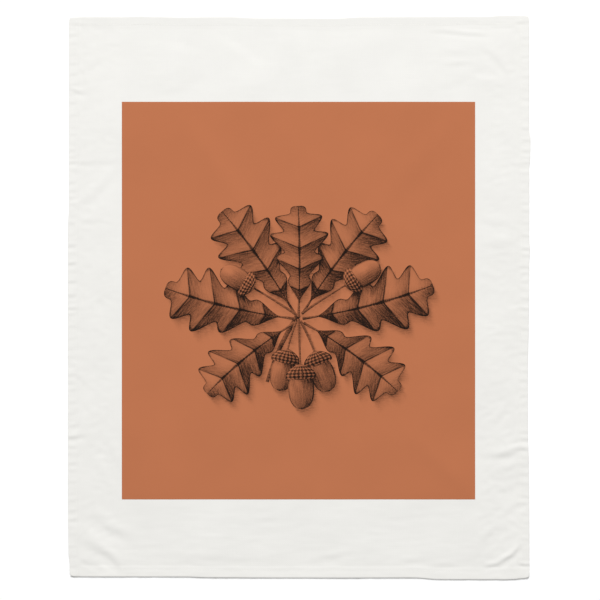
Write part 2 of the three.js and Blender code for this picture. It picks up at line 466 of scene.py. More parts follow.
def small_creases():
    """Faint short creases in the margins, where handling has left them."""
    draw = random.Random(CRUMPLE_SEED)
    found = []
    for (middle_x, middle_y), (reach_x, reach_y), count, height in CRUMPLED:
        for _ in range(count):
            x, y = middle_x + draw.uniform(-reach_x, reach_x), middle_y + draw.uniform(-reach_y, reach_y)
            angle, half_length = draw.uniform(0, math.pi), draw.uniform(*CRUMPLE_LENGTHS)
            dx, dy = half_length * math.cos(angle), half_length * math.sin(angle)
            lift = height * draw.uniform(*CRUMPLE_SHARES) * draw.choice((-1, 1))
            half = draw.uniform(*CRUMPLE_HALVES)
            found.append(Crease((x - dx, y - dy), (x + dx, y + dy), half, lift))
    return found


# Fields of soft random waves: a seed where it is fixed, how many, and the shortest and the longest.
ROLLS = (11, 26, 55.0, 130.0)
FACETS = (12, 24, 10.0, 30.0)
DRIFTS = (5, 40.0, 110.0)
SURGES = (5, 30.0, 90.0)
ROLL_LEVEL, ROLL_SWING = 1.2, 0.8

# Puckers along the bottom and top seams: their share of the Pucker setting, and their length.
END_RIPPLES = {"bottom": (0.35, 15.0), "top": (0.25, 19.0)}
RIPPLE_SLANT = 0.6  # how far they lean sideways for each millimetre beyond the seam
RIPPLE_DRIFT = 1.8  # how much their spacing varies
RIPPLE_LEVEL, RIPPLE_SWING = 0.65, 0.35  # how high they are, and how much that varies
RIPPLE_SKEW = 0.6  # makes the left side of each one steeper
HEM_RIPPLE, FIELD_RIPPLE = 0.85, 0.2  # how much of them shows on the hem, and on the cloth beyond it
HEM_RIPPLE_END, HEM_RIPPLE_FADE = 4.0, 6.0  # they end this far past the seam, and fade over this much
FIELD_RIPPLE_FADE = 25.0

# How much handling shows. It starts a little inside the print's edge, and is full this far out.
HANDLED_IN, HANDLED_FADE = 6.0, 24.0
HANDLED_TOP = 0.55  # share of it that the top margin shows
HANDLED_MIDDLE, HANDLED_FALL, HANDLED_LEAST = 0.75, 0.25, 0.15


def waves(x, y, seed, count, shortest, longest):
    """A soft random field of about unit height, made of waves of those lengths."""
    draw = random.Random(seed)
    total = np.zeros_like(x)
    for _ in range(count):
        length = draw.uniform(shortest, longest)
        angle = draw.uniform(0, math.tau)
        shift = draw.uniform(0, math.tau)
        run = (x * math.cos(angle) + y * math.sin(angle)) * math.tau / length
        total += np.sin(run + shift)
    return total * math.sqrt(2 / count)


def ripple(along, seed, length):
    """An uneven row of puckers along a seam, of about that length each."""
    drift = RIPPLE_DRIFT * waves(along, along * 0, seed, *DRIFTS)
    height = RIPPLE_LEVEL + RIPPLE_SWING * waves(along, along * 0, seed + 1, *SURGES)
    turn = along * math.tau / length + drift
    return height * (0.5 + 0.5 * np.sin(turn + RIPPLE_SKEW * np.sin(turn)))


def end_ripple(x, inset, strength, length, size):
    """The puckers of the bottom or the top seam at a point, as a share of the Pucker setting."""
    drawn = x + RIPPLE_SLANT * np.clip(inset - size.seam, 0, None)
    shown = HEM_RIPPLE * smooth((size.seam + HEM_RIPPLE_END - inset) / HEM_RIPPLE_FADE)
    shown += FIELD_RIPPLE * np.exp(-inset / FIELD_RIPPLE_FADE)
    return strength * shown * ripple(drawn, int(length * 10), length)


def handled(x, y, size):
    """How much handling shows at a point: least under the ironed print, most in the lower margins."""
    side = smooth((np.abs(x) - size.print_x + HANDLED_IN) / HANDLED_FADE)
    low = smooth((-y - size.print_bottom + HANDLED_IN) / HANDLED_FADE)
    high = smooth((y - size.print_top + HANDLED_IN) / HANDLED_FADE)
    most = np.maximum(np.maximum(side, low), HANDLED_TOP * high)
    return most * (HANDLED_MIDDLE - HANDLED_FALL * y / size.half_y) + HANDLED_LEAST


def relief(x, y, size):
    """How far the whole towel stands off the table at a point: rumples, creases and puckers."""
    inset_y = size.half_y - np.abs(y)
    edge = np.minimum(size.half_x - np.abs(x), inset_y)
    settled = HEM_SETTLE * smooth(1 - edge / SETTLE_REACH)
    height = size.rumple * (ROLL_LEVEL + ROLL_SWING * waves(x, y, *ROLLS)) * (1 - settled)
    height += FACET_HEIGHT * handled(x, y, size) * (1 - np.abs(waves(x, y, *FACETS)))
    there_x, there_y = stray(x, y, size)
    for mark in (*CREASES, *TUCKS, *small_creases()):
        height += mark.lift(there_x, there_y)
    for pucker in hem_puckers(size):
        height += pucker.lift(x, there_y)
    height += size.pucker * end_ripple(x, size.half_y + y, *END_RIPPLES["bottom"], size)
    height += size.pucker * end_ripple(x, size.half_y - y, *END_RIPPLES["top"], size)
    rest = REST * (1 - EDGE_REST * smooth(1 - inset_y / SETTLE_REACH))
    return np.maximum(height, -rest) + rest + TABLE_GAP


def fold(stretch, place, depth, pitch, half, size):
    """Turns the edge of a stack of cloth under twice.

    A line of cloth at some depth in the stack comes out at a distance from the middle, and at a depth
    below the finished top. pitch is the stack's own thickness.
    """
    edge = half - 1.5 * pitch
    inner = half - size.hem + pitch
    brim = half - size.hem - RAMP
    if stretch == FACE:
        return place + 0 * pitch, depth
    if stretch == BRIM:
        return brim + place**BRIM_CROWDING * (edge - brim), depth
    if stretch == OUTER_FOLD:
        radius = 1.5 * pitch - depth
        return edge + radius * math.sin(math.pi * place), 1.5 * pitch - radius * math.cos(math.pi * place)
    if stretch == UNDER:
        return edge + place * (inner - edge), 3 * pitch - depth
    if stretch == INNER_FOLD:
        radius = pitch - depth
        return inner - radius * math.sin(math.pi * place), 2 * pitch + radius * math.cos(math.pi * place)
    return inner + place * (edge - CUT_EDGE_IN - inner), pitch + depth


def stations(half, print_edge, cells, turned_steps, size):
    """The lines of the sheet from its middle to a cut edge. One lies on the print's edge."""
    brim = half - size.hem - RAMP
    under_print = np.linspace(0, print_edge, math.ceil(print_edge / cells[0]) + 1)
    margin = np.linspace(print_edge, brim, math.ceil((brim - print_edge) / cells[1]) + 1)
    lines = [(FACE, place) for place in [*under_print, *margin[1:]]]
    for stretch, count in turned_steps.items():
        lines += [(stretch, (i + 1) / count) for i in range(count)]
    return lines


def flat_run(lines, half, size):
    """How far each line is from the middle when the sheet is laid out flat."""
    folded = [fold(*line, size.pitch / 2, size.pitch, half, size) for line in lines]
    steps = [math.dist(a, b) for a, b in zip(folded, folded[1:])]
    return [folded[0][0], *np.cumsum(steps)]


def sheet_points(face_depth, size):
    """Points of one face of the whole sheet, as a grid of finished places and a grid of flat ones."""
    columns = []
    for sign, skip in ((-1, 1), (1, 0)):
        lines = stations(size.half_x, size.print_x, COLUMN_CELLS, ACROSS_STEPS, size)
        flat = flat_run(lines, size.half_x, size)
        folded = [fold(*line, face_depth, size.pitch, size.half_x, size) for line in lines]
        side = [(sign * place, depth, sign * run) for (place, depth), run in zip(folded, flat)][skip:]
        columns += side[::-1] if sign < 0 else side
    across, depth_one, flat_x = np.array(columns).T
    stack = size.pitch * (1 + 2 * rise(size.half_x - np.abs(across), size))
    rows, flat_y = [], []
    for sign, print_edge, skip in ((-1, size.print_bottom, 1), (1, size.print_top, 0)):
        lines = stations(size.half_y, print_edge, ROW_CELLS, ALONG_STEPS, size)
        runs = flat_run(lines, size.half_y, size)[skip:]
        side = []
        for line in lines[skip:]:
            place, depth = fold(*line, depth_one, stack, size.half_y, size)
            side.append((across, sign * place, depth))
        rows += side[::-1] if sign < 0 else side
        flat_y += [-run for run in runs[::-1]] if sign < 0 else runs
    grid = np.array([[x + 0 * depth, y + 0 * depth, depth] for x, y, depth in rows])
    x, y, depth = grid[:, 0], grid[:, 1], grid[:, 2]
    return finish_points(x, y, depth, size), np.meshgrid(flat_x, flat_y)


def pressed(inset, form, size):
    """How many layers thick a hem is once it is pressed, this far in from an edge."""
    kept, wedge = HEM_FORM[form]
    return 1 + 2 * rise(inset, size) * kept * (1 - wedge * np.clip(inset / size.hem, 0, 1))


def towel_top(x, y, size):
    """The stack's full height at a point, and the share of it that pressing and the seams leave."""
    inset_x, inset_y = size.half_x - np.abs(x), size.half_y - np.abs(y)
    rise_x, rise_y = rise(inset_x, size), rise(inset_y, size)
    layers = (1 + 2 * rise_x) * (1 + 2 * rise_y)
    bulk_x = pressed(inset_x, "side", size) - 1
    bulk_y = np.where(y > 0, pressed(inset_y, "top", size), pressed(inset_y, "bottom", size)) - 1
    press = (1 + (bulk_x**CORNER_BLEND + bulk_y**CORNER_BLEND) ** (1 / CORNER_BLEND)) / layers
    for inset in (inset_x, inset_y):
        press = press * (1 - SEAM_SQUEEZE * np.exp(-(((inset - size.seam) / SEAM_WIDTH) ** 2)))
    return size.pitch * layers, press


def finish_points(x, y, depth, size):
    """Puts points of the stack at their final places, in metres."""
    top, press = towel_top(x, y, size)
    height = (top - depth) * press + relief(x, y, size)
    out_x, out_y = stray(x, y, size)
    return np.stack([out_x, out_y, height], axis=-1) * MM


def mesh_object(name, points, faces, edges=()):
    """A smooth mesh object at the origin, linked to the scene."""
    mesh = bpy.data.meshes.new(name)
    mesh.from_pydata(points, edges, faces)
    mesh.validate()
    mesh.shade_smooth()
    made = bpy.data.objects.new(name, mesh)
    bpy.context.scene.collection.objects.link(made)
    return made


def corner_values(made, name, kind, values):
    """Stores a value for each corner of each face, as an attribute that a material can read."""
    layer = made.data.attributes.new(name, kind, "CORNER")
    field = "vector" if kind == "FLOAT_VECTOR" else "value"
    layer.data.foreach_set(field, np.asarray(values, np.float32).ravel())


def corner_vertices(made):
    """The vertex at each corner of each face."""
    found = np.zeros(len(made.data.loops), np.int32)
    made.data.loops.foreach_get("vertex_index", found)
    return found


def uv_map(made, name, places):
    """A UV map from a place for each vertex."""
    layer = made.data.uv_layers.new(name=name)
    layer.data.foreach_set("uv", np.asarray(places, np.float32)[corner_vertices(made)].ravel())


MATH, MIX, RANGE, NOISE = "ShaderNodeMath", "ShaderNodeMix", "ShaderNodeMapRange", "ShaderNodeTexNoise"
COMBINE, SEPARATE, VALUE_OF = "ShaderNodeCombineXYZ", "ShaderNodeSeparateXYZ", "ShaderNodeAttribute"


def add(tree, kind, *values, at=None, out=0, **settings):
    """Adds a node, gives it its settings, fills or links its inputs, and returns one of its outputs."""
    made = tree.nodes.new(kind)
    for name, value in settings.items():
        setattr(made, name, value)
    for key, value in [*enumerate(values), *(at or {}).items()]:
        if isinstance(value, bpy.types.NodeSocket):
            tree.links.new(value, made.inputs[key])
        else:
            made.inputs[key].default_value = value
    return made.outputs[out] if len(made.outputs) else made


def new_material(name):
    """A material and its empty node tree."""
    made = bpy.data.materials.new(name)
    made.use_nodes = True
    made.node_tree.nodes.clear()
    return made, made.node_tree


# The weave is about 0.5 mm from thread to thread. It is drawn at twice that, so that it shows.
THREAD_MM = 1.0
SLUB_LONG, SLUB_SHORT = 0.05, 0.9  # how fast a thread's thickness changes along it and across it
CROSSING = 0.3  # height of the weave's crossings, next to the slubs
WEAVE_DEPTH = 0.1 * MM


def woven_height(tree):
    """The place on the flat cloth, and the height there of a plain weave with uneven threads."""
    place = add(tree, "ShaderNodeUVMap", uv_map="flat cloth")
    turns = add(tree, "ShaderNodeVectorMath", place, (math.pi / THREAD_MM,) * 3, operation="MULTIPLY")
    waves_xy = add(tree, "ShaderNodeVectorMath", turns, operation="SINE")
    warp, weft, _ = add(tree, SEPARATE, waves_xy).node.outputs
    crossing = add(tree, MATH, warp, weft, operation="MULTIPLY")
    slubs = []
    for stretch in ((SLUB_SHORT, SLUB_LONG, 1), (SLUB_LONG, SLUB_SHORT, 1)):
        scaled = add(tree, "ShaderNodeVectorMath", place, stretch, operation="MULTIPLY")
        slubs.append(add(tree, NOISE, at={"Vector": scaled, "Scale": 1.0, "Detail": 2.0}))
    threads = add(tree, MATH, *slubs, operation="ADD")
    return place, add(tree, MATH, crossing, CROSSING, threads, operation="MULTIPLY_ADD")


def mottled(tree, colour, pattern, shades):
    """A colour made darker and lighter by a pattern: its range becomes a range of shades."""
    shade = add(tree, RANGE, pattern, *shades)
    return add(tree, MIX, at={0: 1.0, 6: (*colour, 1), 7: shade}, data_type="RGBA",
               blend_type="MULTIPLY", out=2)


def finish_surface(tree, settings, height, strength, depth):
    """Gives a material its shader and, from a height, its fine relief."""
    bump = add(tree, "ShaderNodeBump", at={"Strength": strength, "Distance": depth, "Height": height})
    shader = add(tree, "ShaderNodeBsdfPrincipled", at={**settings, "Normal": bump})
    add(tree, "ShaderNodeOutputMaterial", shader)


COTTON_CLOUDS = 0.035  # per millimetre: the white varies over about 30 mm
COTTON_SHADES = (0.3, 0.7, 0.985, 1.01)  # the pattern's range, and the shades that it becomes
GHOST_COLOUR = linear("#d8b7a4")
GHOST_STRENGTH = 0.5


def cotton_material(cloth):
    """Bleached cotton, plain woven: a dry, faintly fuzzy white with threads of uneven thickness.

    On the face that is turned to the table a faint ghost of the print shows, where ink has gone through.
    """
    material, tree = new_material("bleached cotton, plain woven")
    place, height = woven_height(tree)
    mottle = add(tree, NOISE, at={"Vector": place, "Scale": COTTON_CLOUDS, "Detail": 3.0})
    white = mottled(tree, cloth.colour, mottle, COTTON_SHADES)
    ghost = add(tree, VALUE_OF, attribute_name="ghost", out=2)
    patchy = add(tree, MATH, ghost, mottle, operation="MULTIPLY")
    base = add(tree, MIX, at={0: patchy, 6: white, 7: (*GHOST_COLOUR, 1)}, data_type="RGBA", out=2)
    dry = {"Roughness": 0.93, "Sheen Weight": 0.15, "Sheen Roughness": 0.45, "Specular IOR Level": 0.25}
    finish_surface(tree, {"Base Color": base, **dry}, height, strength=0.36, depth=WEAVE_DEPTH)
    return material


# Pencil marks. Each goes from one place on its form to another, with the tone that it adds at both.
QUILT = (0.0, 0.75, 0.30, -0.08)  # a leaf's blade, from one vein to the next
VEIN = (0.012, 0.045, 0.36, 0.0)
VEIN_FADE = (0.45, 0.95, 1.0, 0.15)
MIDRIB = (0.02, 0.07, 0.5, 0.0)
LEAF_RIM = (0.90, 0.985, 0.0, 0.45)
NUT_RIM = (0.84, 0.98, 0.0, 0.35)
NUT_ENDS = (0.44, 0.49, 0.0, 0.35)
CUP_SCALES = (-0.4, 0.6, 0.32, -0.22)
CUP_ROWS, CUP_RANKS = 5.0, 3.6  # half turns of the cup's scales, along it and across


def leaf_marks(tree, along, spread):
    """Pencil marks on a leaf: a vein runs into each lobe, with the blade shaded away from it."""
    lobes = add(tree, MATH, along, -LOBES, LOBES, operation="MULTIPLY_ADD")
    panel = add(tree, MATH, lobes, operation="FRACT")
    quilt = add(tree, RANGE, panel, *QUILT)
    from_vein = add(tree, MATH, lobes, 0.5, operation="PINGPONG")
    vein = add(tree, RANGE, from_vein, *VEIN)
    vein_fade = add(tree, RANGE, spread, *VEIN_FADE)
    marks = add(tree, MATH, vein, vein_fade, quilt, operation="MULTIPLY_ADD")
    for line in (MIDRIB, LEAF_RIM):
        marks = add(tree, MATH, marks, add(tree, RANGE, spread, *line), operation="ADD")
    return marks


def nut_marks(tree, along, spread):
    """Pencil marks on a nut: a darker rim all round."""
    rim = add(tree, RANGE, spread, *NUT_RIM)
    from_middle = add(tree, MATH, along, 0.5, operation="SUBTRACT")
    from_middle = add(tree, MATH, from_middle, operation="ABSOLUTE")
    ends = add(tree, RANGE, from_middle, *NUT_ENDS)
    return add(tree, MATH, rim, ends, operation="ADD")


def cup_marks(tree, along, across):
    """Pencil marks on a cup: slanting rows of small scales."""
    rows = add(tree, MATH, along, CUP_ROWS * math.pi, operation="MULTIPLY")
    ranks = add(tree, MATH, across, CUP_RANKS * math.pi, operation="MULTIPLY")
    slants = []
    for operation in ("ADD", "SUBTRACT"):
        slant = add(tree, MATH, rows, ranks, operation=operation)
        slants.append(add(tree, MATH, slant, operation="SINE"))
    scales = add(tree, MATH, *slants, operation="MULTIPLY")
    return add(tree, RANGE, scales, *CUP_SCALES)


# Strokes along and across a form, for its length and half its width. The ground's are per millimetre.
LEAF_STROKES, NUT_STROKES, GROUND_STROKES = (95.0, 2.4, 1.0), (3.0, 16.0, 1.0), (0.16, 1.1, 1.0)
PENCIL_GRAIN = 0.9  # per millimetre
PENCIL_BITE = (0.72, 1.28, 0.62, 1.30)  # how strokes and grain thin the tone out or build it up
INK_CLOUDS = 0.02  # per millimetre: the ground varies over about 50 mm
INK_SHADES = (0.3, 0.7, 0.985, 1.015)


def ink_material(colours):
    """Cured pigment ink on cotton: matt and flat in colour, with the weave still felt through it.

    The drawing is toned like soft pencil, with strokes along each form and a grain over all of it.
    """
    material, tree = new_material("pigment ink, cured on cotton")
    place, height = woven_height(tree)
    drawn = add(tree, VALUE_OF, attribute_name="drawn", out=1)
    along, across, kind = add(tree, SEPARATE, drawn).node.outputs
    tone = add(tree, VALUE_OF, attribute_name="tone", out=2)
    spread = add(tree, MATH, across, operation="ABSOLUTE")
    marks = {
        "leaf": leaf_marks(tree, along, spread),
        "nut": nut_marks(tree, along, spread),
        "cup": cup_marks(tree, along, across),
    }
    # Each corner's kind is a number: 0 on the ground, 1 for the first of KINDS, and so on.
    is_kind = {}
    for name, value in marks.items():
        number = float(1 + KINDS.index(name))
        is_kind[name] = add(tree, MATH, kind, number, 0.4, operation="COMPARE")
        tone = add(tree, MATH, is_kind[name], value, tone, operation="MULTIPLY_ADD")

    # The space in which the strokes lie: fine across each stroke, and long along it.
    space = add(tree, "ShaderNodeVectorMath", place, GROUND_STROKES, operation="MULTIPLY")
    for name, strokes in (("leaf", LEAF_STROKES), ("nut", NUT_STROKES)):
        on_form = add(tree, "ShaderNodeVectorMath", drawn, strokes, operation="MULTIPLY")
        space = add(tree, MIX, at={0: is_kind[name], 4: space, 5: on_form}, data_type="VECTOR", out=1)
    stroke = add(tree, NOISE, at={"Vector": space, "Scale": 1.0, "Detail": 2.0, "Roughness": 0.6})
    grain = add(tree, NOISE, at={"Vector": place, "Scale": PENCIL_GRAIN, "Detail": 3.0, "Roughness": 0.7})
    rough = add(tree, MATH, stroke, grain, operation="ADD")
    bite = add(tree, RANGE, rough, *PENCIL_BITE)
    tone = add(tree, MATH, tone, bite, operation="MULTIPLY", use_clamp=True)
    tone = add(tree, RANGE, tone, interpolation_type="SMOOTHSTEP")

    cloudy = add(tree, NOISE, at={"Vector": place, "Scale": INK_CLOUDS, "Detail": 3.0})
    ground = mottled(tree, colours.ground, cloudy, INK_SHADES)
    base = add(tree, MIX, at={0: tone, 6: ground, 7: (*colours.drawing, 1)}, data_type="RGBA", out=2)
    matt = {"Roughness": 0.88, "Sheen Weight": 0.03, "Specular IOR Level": 0.16}
    finish_surface(tree, {"Base Color": base, **matt}, height, strength=0.22, depth=WEAVE_DEPTH)
    return material


PLY_SCALE = 260.0  # the wave texture's: a band every 2.4 mm, coarser than real plies, to show
PLY_DEPTH = 0.05 * MM
PLY_SHADES = (0.0, 1.0, 0.9, 1.0)


def thread_material(seams):
    """Cotton sewing thread, spun from two twisted plies: a soft white with a fine slant to it."""
    material, tree = new_material("cotton sewing thread, two-ply")
    place = add(tree, "ShaderNodeTexCoord", out=3)
    plies = add(tree, "ShaderNodeTexWave", at={
        "Vector": place, "Scale": PLY_SCALE, "Distortion": 0.6,
    }, out=1, wave_type="BANDS", bands_direction="DIAGONAL")
    base = mottled(tree, seams.colour, plies, PLY_SHADES)
    soft = {"Roughness": 0.7, "Sheen Weight": 0.15}
    finish_surface(tree, {"Base Color": base, **soft}, plies, strength=0.5, depth=PLY_DEPTH)
    return material


# The drawn sprig: oak leaves and acorns, in millimetres from its own middle.
KINDS = ("leaf", "nut", "cup", "stem")
LOBES = 4.6
LEAF_LEAN = 0.45  # how much the lobes and veins slant towards a leaf's tip
SPRIG_MIDDLE = (0.0, -18.0)
SKETCH_LIGHT = (-0.5, 0.87)  # where the light in the drawing comes from
CAST_STEPS = (1.5, 3.0, 5.0, 7.5, 10.5, 14.0)  # how far a drawn form's shadow falls, in soft steps
LEAST_BEND = 0.5  # degrees, so that a straight form has a radius too
LEAST_STEP = 0.05  # points of an outline that are nearer to each other than this are left out


def leaf_width(u):
    """A pointed blade with rounded lobes."""
    body = np.sin(np.pi * np.clip(u, 0, 1) ** 1.25).clip(0) ** 0.75
    lobe = 0.5 + 0.5 * np.cos(math.tau * LOBES * (1 - u))
    return body * (0.56 + 0.44 * lobe**0.8)


def nut_width(u):
    """A blunt oval that narrows a little to its tip."""
    return np.clip(1 - np.abs(2 * u - 1) ** 2.6, 0, 1) ** 0.5 * (1.04 - 0.12 * u)


def cup_width(u):
    """A dome with a rounded rim."""
    dome = np.sin(math.pi / 2 * np.clip(u / 0.75, 0, 1)) ** 0.7
    return dome * np.clip(1 - (np.clip(u - 0.8, 0, 0.2) / 0.2) ** 4, 0, 1) ** 0.5


def stem_width(u):
    """A stalk that thins out."""
    return 1 - 0.35 * u


WIDTHS = {"leaf": leaf_width, "nut": nut_width, "cup": cup_width, "stem": stem_width}
OUTLINE_STEPS = {"leaf": 84, "nut": 18, "cup": 14, "stem": 8}

# The middle tone of each kind of form, and how far the light lifts or lowers it.
SHADING = {"leaf": (0.36, 0.17), "nut": (0.46, 0.42), "cup": (0.62, 0.26), "stem": (0.62, 0.25)}
LEAF_FOLD = 3.0  # how fast a blade's two halves turn away from its midrib
LEAF_FOOT, LEAF_EDGE = 0.3, 0.14  # extra tone at a leaf's foot and along its edge
BULGE_ACROSS, BULGE_ALONG = 0.95, 0.75
GLINT_AT, GLINT_SPREAD, GLINT = 0.42, 0.05, 0.3  # the bright spot on a nut


@dataclass
class Motif:
    """One drawn form, with a middle line that starts at its base and may bend."""

    kind: str
    base: tuple
    heading: float
    length: float
    half: float
    bend: float = 0.0

    @property
    def lean(self):
        """How much the form's lobes slant towards its tip."""
        return LEAF_LEAN if self.kind == "leaf" else 0.0

    @property
    def start(self):
        """The direction in which the middle line starts, as the cosine and sine of its heading."""
        return math.cos(math.radians(self.heading)), math.sin(math.radians(self.heading))

    @property
    def radius(self):
        """Signed radius of the middle line's bend."""
        return self.length / math.radians(self.bend if abs(self.bend) > LEAST_BEND else LEAST_BEND)

    def point(self, along, off):
        """The place of a point at this run along the middle line and this far to its left."""
        turn = along / self.radius
        forward = (self.radius - off) * np.sin(turn)
        left = self.radius - (self.radius - off) * np.cos(turn)
        c, s = self.start
        return self.base[0] + c * forward - s * left, self.base[1] + s * forward + c * left

    def outline(self):
        """Its edge, once round against the clock."""
        u = np.linspace(0, 1, OUTLINE_STEPS[self.kind] + 1)
        wide = self.half * WIDTHS[self.kind](u)
        along = self.length * u + self.lean * wide
        left = np.stack(self.point(along, wide), axis=-1)
        right = np.stack(self.point(along, -wide), axis=-1)
        edge = [*right, *left[::-1]]
        return [p for p, q in zip(edge, edge[1:] + edge[:1]) if math.dist(p, q) > LEAST_STEP]

    def locate(self, x, y):
        """Each point's share along the form, and its share across from the middle line to the edge."""
        c, s = self.start
        dx, dy = x - self.base[0], y - self.base[1]
        forward, left = c * dx + s * dy, c * dy - s * dx
        sign = math.copysign(1, self.radius)
        turn = np.arctan2(sign * forward, sign * (self.radius - left))
        off = self.radius - sign * np.hypot(forward, self.radius - left)
        u = (turn * self.radius - self.lean * np.abs(off)) / self.length
        wide = self.half * WIDTHS[self.kind](np.clip(u, 0, 1)) + 1e-6
        return u, off / wide

    def covers(self, x, y):
        """Whether each point lies inside the form."""
        u, v = self.locate(x, y)
        return (u > 0) & (u < 1) & (np.abs(v) < 1)

    def tone(self, u, v):
        """How dark the pencil shading is, before its strokes and lines."""
        turn = math.radians(self.heading) + u * self.length / self.radius
        ahead = np.stack([np.cos(turn), np.sin(turn)])
        left = np.stack([-np.sin(turn), np.cos(turn)])
        light = np.array(SKETCH_LIGHT)[:, None]
        middle, swing = SHADING[self.kind]
        if self.kind == "leaf":
            facing = (left * light).sum(0) * np.clip(LEAF_FOLD * v, -1, 1)
            blade = middle - swing * facing
            return blade + LEAF_FOOT * (1 - u) ** 2 + LEAF_EDGE * np.abs(v) ** 3
        if self.kind == "stem":
            return middle - swing * (left * light).sum(0) * v
        bulge = left * v * BULGE_ACROSS + ahead * (2 * u - 1) * BULGE_ALONG
        shade = middle - swing * (bulge * light).sum(0)
        if self.kind == "cup":
            return shade
        return shade - GLINT * np.exp(-((bulge - GLINT_AT * light) ** 2).sum(0) / GLINT_SPREAD)


# Lengths and half widths of the small forms, and how far along each one the next begins.
LEAF_STALK, LEAF_STALK_HALF, BLADE_START = 16, 1.5, 14.0
ACORN_STALK_HALF, STALK_IN_CUP = 1.4, 1
CUP_LENGTH, CUP_HALF, NUT_START = 15, 14.5, 8.0
NUT_LENGTH, NUT_HALF = 35, 12.4


def leaf(x, y, heading, length, half, bend):
    """A leaf on a short stalk."""
    stalk = Motif("stem", (x, y), heading, LEAF_STALK, LEAF_STALK_HALF)
    return [stalk, Motif("leaf", stalk.point(BLADE_START, 0.0), heading, length, half, bend)]


def acorn(x, y, heading, stalk, bend, size=1.0):
    """A nut in its cup on a stalk."""
    stem = Motif("stem", (x, y), heading, stalk, ACORN_STALK_HALF, bend)
    heading += bend
    cup_base = stem.point(stalk - STALK_IN_CUP, 0.0)
    cup = Motif("cup", cup_base, heading, CUP_LENGTH * size, CUP_HALF * size)
    nut_base = cup.point(NUT_START * size, 0.0)
    nut = Motif("nut", nut_base, heading, NUT_LENGTH * size, NUT_HALF * size)
    return [stem, nut, cup]


def sprig():
    """The drawing, from its furthest form to its nearest. Headings and bends are in degrees."""
    forms = [Motif("stem", (0, 4), 236, 74, 2.6, 18)]
    forms += leaf(-3, 4, 121, 112, 32, 10)
    forms += leaf(4, 5, 58, 110, 31, -12)
    forms += leaf(-4, 0, 172, 118, 33, -12)
    forms += leaf(4, 0, 9, 120, 33, 12)
    forms += acorn(-2, 4, 146, 50, 4, 0.9)
    forms += acorn(3, 5, 36, 52, -6, 0.95)
    forms += leaf(-4, -4, 213, 98, 29, 14)
    forms += leaf(5, -4, -30, 102, 30, -14)
    forms += leaf(0, 2, 88, 96, 29, 5)
    forms += acorn(2, -2, -62, 34, -8)
    forms += acorn(-2, -2, -112, 30, 10)
    forms += acorn(0, 0, -88, 46, 0, 1.05)
    for form in forms:
        form.base = (form.base[0] + SPRIG_MIDDLE[0], form.base[1] + SPRIG_MIDDLE[1])
    return forms


def cast_shade(x, y, above):
    """How much of the soft shadow of the forms above falls on each point, from 0 to 1."""
    total = np.zeros_like(x)
    for step in CAST_STEPS:
        dark = np.zeros(x.shape, bool)
        for form in above:
            dark |= form.covers(x + step * SKETCH_LIGHT[0], y + step * SKETCH_LIGHT[1])
        total += dark
    return total / len(CAST_STEPS)


# The film of ink, in millimetres.
PRINT_CELL = 3.0  # spacing of its points between the drawn outlines
INK_CLEAR = 0.14  # how far it stands over the cloth
EDGE_CLEAR = 0.01  # and how far at its own edge, where the gap would show
EDGE_RISE = 6.0  # how far in from that edge the one becomes the other
INSIDE_ONLY = 1  # delaunay_2d_cdt's number for keeping what lies inside the outlines
MERGE_WITHIN = 1e-4


def print_triangles(size, forms):
    """The printed panel cut along the edges of the drawn forms: points, triangles and each one's form."""
    half_y = (size.print_top + size.print_bottom) / 2
    xs = np.linspace(-size.print_x, size.print_x, math.ceil(2 * size.print_x / PRINT_CELL) + 1)
    ys = np.linspace(-half_y, half_y, math.ceil(2 * half_y / PRINT_CELL) + 1)
    points = [(x, y) for y in ys for x in xs]
    columns, rows = len(xs), len(ys)
    top = (rows - 1) * columns
    border = [*range(columns), *(r * columns + columns - 1 for r in range(1, rows))]
    border += [*range(top + columns - 2, top - 1, -1), *(r * columns for r in range(rows - 2, 0, -1))]
    faces = [border]
    for form in forms:
        edge = form.outline()
        faces.append(list(range(len(points), len(points) + len(edge))))
        points += edge
    cut = delaunay_2d_cdt([Vector(p) for p in points], [], faces, INSIDE_ONLY, MERGE_WITHIN)
    places = np.array([tuple(p) for p in cut[0]])
    return places, [tuple(t) for t in cut[2]], np.array([max(origin) for origin in cut[5]])


GROUND_SHADE, FORM_SHADE = 0.55, 0.45  # how dark drawn shadows are on the ground and on a form
FILM_CREASE = math.radians(50)  # the film's edge is sharper than this, its relief is not
BAKE_SHARE = 0.96  # of the bake map's height


